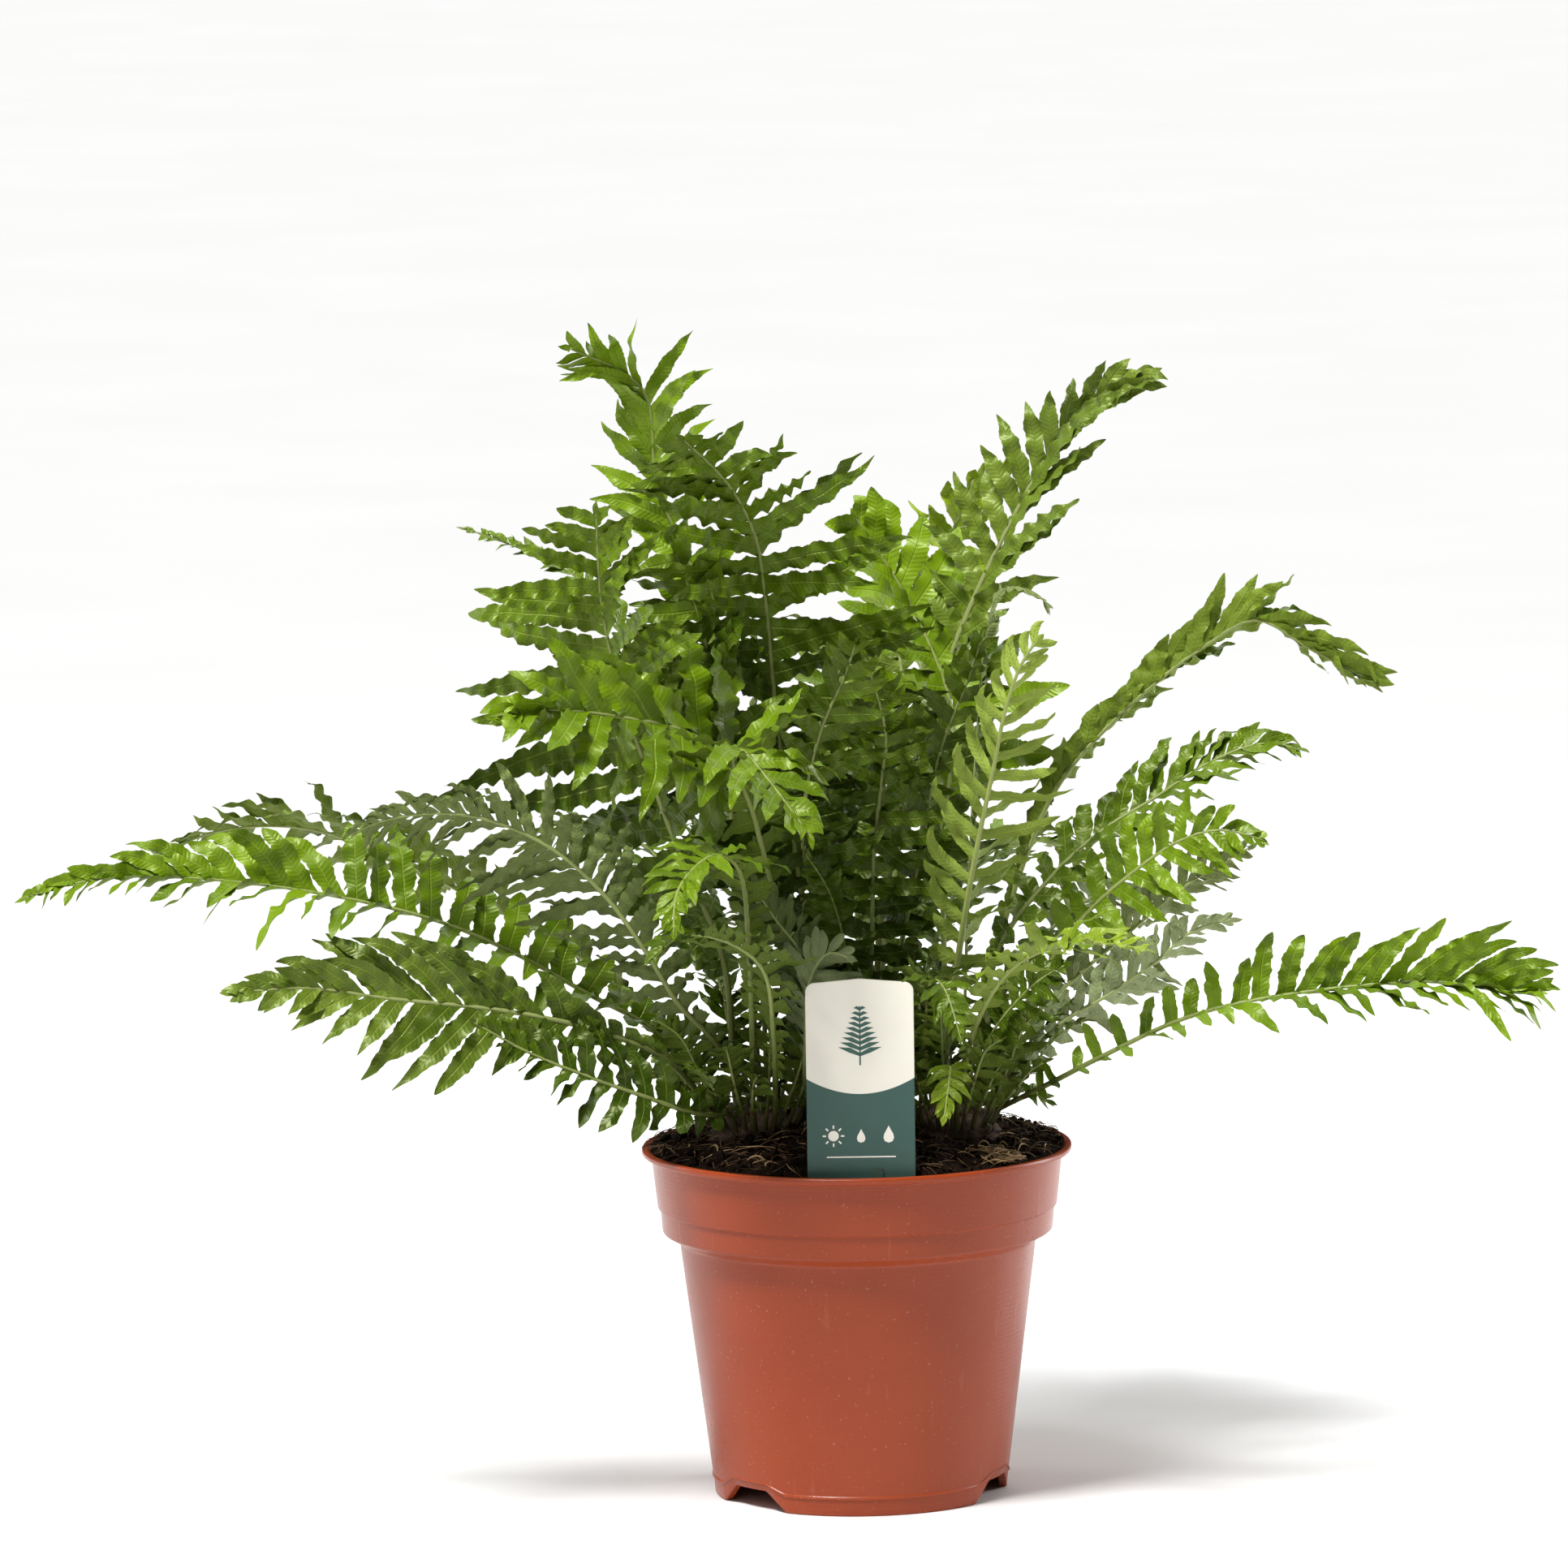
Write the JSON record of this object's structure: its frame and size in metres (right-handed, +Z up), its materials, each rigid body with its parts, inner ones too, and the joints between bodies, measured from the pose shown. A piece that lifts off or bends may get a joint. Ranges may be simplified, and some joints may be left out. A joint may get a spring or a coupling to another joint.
{
  "type": "potted silver lady fern",
  "caption": "Fern with long feathery arching fronds rising from short crowns in a round tapered nursery pot of moist soil, with a plain care tag pushed in at the front.",
  "frame": {"origin": "centre of the pot's underside, on the surface it stands on", "axes": "+Z up, +X to the right of the tag as one looks at its face, -Y the side that the tag faces"},
  "size_m": [0.68, 0.39, 0.512],
  "materials": {
    "pot": "glossy terracotta brown",
    "soil": "dark brown peat with fibres",
    "tag": "cream over teal, satin",
    "crown": "dark brown, scaly",
    "leaf_dark": "dark green fern leaf, waxy",
    "leaf_green": "mid green fern leaf, waxy",
    "leaf_bright": "bright green young fern leaf, waxy",
    "leaf_pale": "pale yellow-green fern leaf, waxy",
    "leaf_grey": "grey-green underside of fern leaf, matt"
  },
  "bodies": {
    "root": {"pot": "pot", "soil": "soil", "plant_tag": "tag", "crown_left": "crown", "crown_middle": "crown", "crown_right": "crown", "frond_left_broad": "leaf_green", "frond_top_dark": "leaf_dark", "frond_left_tall": "leaf_green", "frond_right_tall": "leaf_green", "frond_front_upright": "leaf_pale", "frond_left_far": "leaf_bright", "frond_right_far": "leaf_bright", "frond_left_fan": "leaf_grey", "frond_left_grey": "leaf_grey", "frond_left_low_dark": "leaf_dark", "frond_front_left_bright": "leaf_bright", "frond_front_drooping": "leaf_bright", "frond_right_arching": "leaf_green", "frond_right_upper": "leaf_green", "frond_right_bright": "leaf_bright", "frond_right_grey_upper": "leaf_grey", "frond_right_grey_lower": "leaf_grey", "frond_centre_dark": "leaf_dark", "frond_right_of_centre": "leaf_green", "frond_right_pale": "leaf_pale", "frond_left_back": "leaf_green", "frond_left_slender": "leaf_green", "frond_young_furled": "leaf_pale", "frond_young_hooked": "leaf_grey", "frond_centre_slender": "leaf_green", "frond_centre_small_grey": "leaf_grey", "frond_centre_olive": "leaf_dark", "frond_front_left_low": "leaf_green", "frond_front_nodding": "leaf_bright", "frond_front_right_light": "leaf_pale", "frond_front_right_nodding": "leaf_green", "frond_small_pale": "leaf_pale", "frond_small_hanging": "leaf_pale", "frond_small_dark_right": "leaf_dark", "frond_small_on_soil": "leaf_green", "frond_back_tall": "leaf_green", "frond_back_left": "leaf_dark", "frond_back_centre": "leaf_green", "frond_back_right": "leaf_bright", "frond_back_low": "leaf_dark", "frond_back_left_low": "leaf_green", "frond_back_right_low": "leaf_green"}
  },
  "joints": []
}
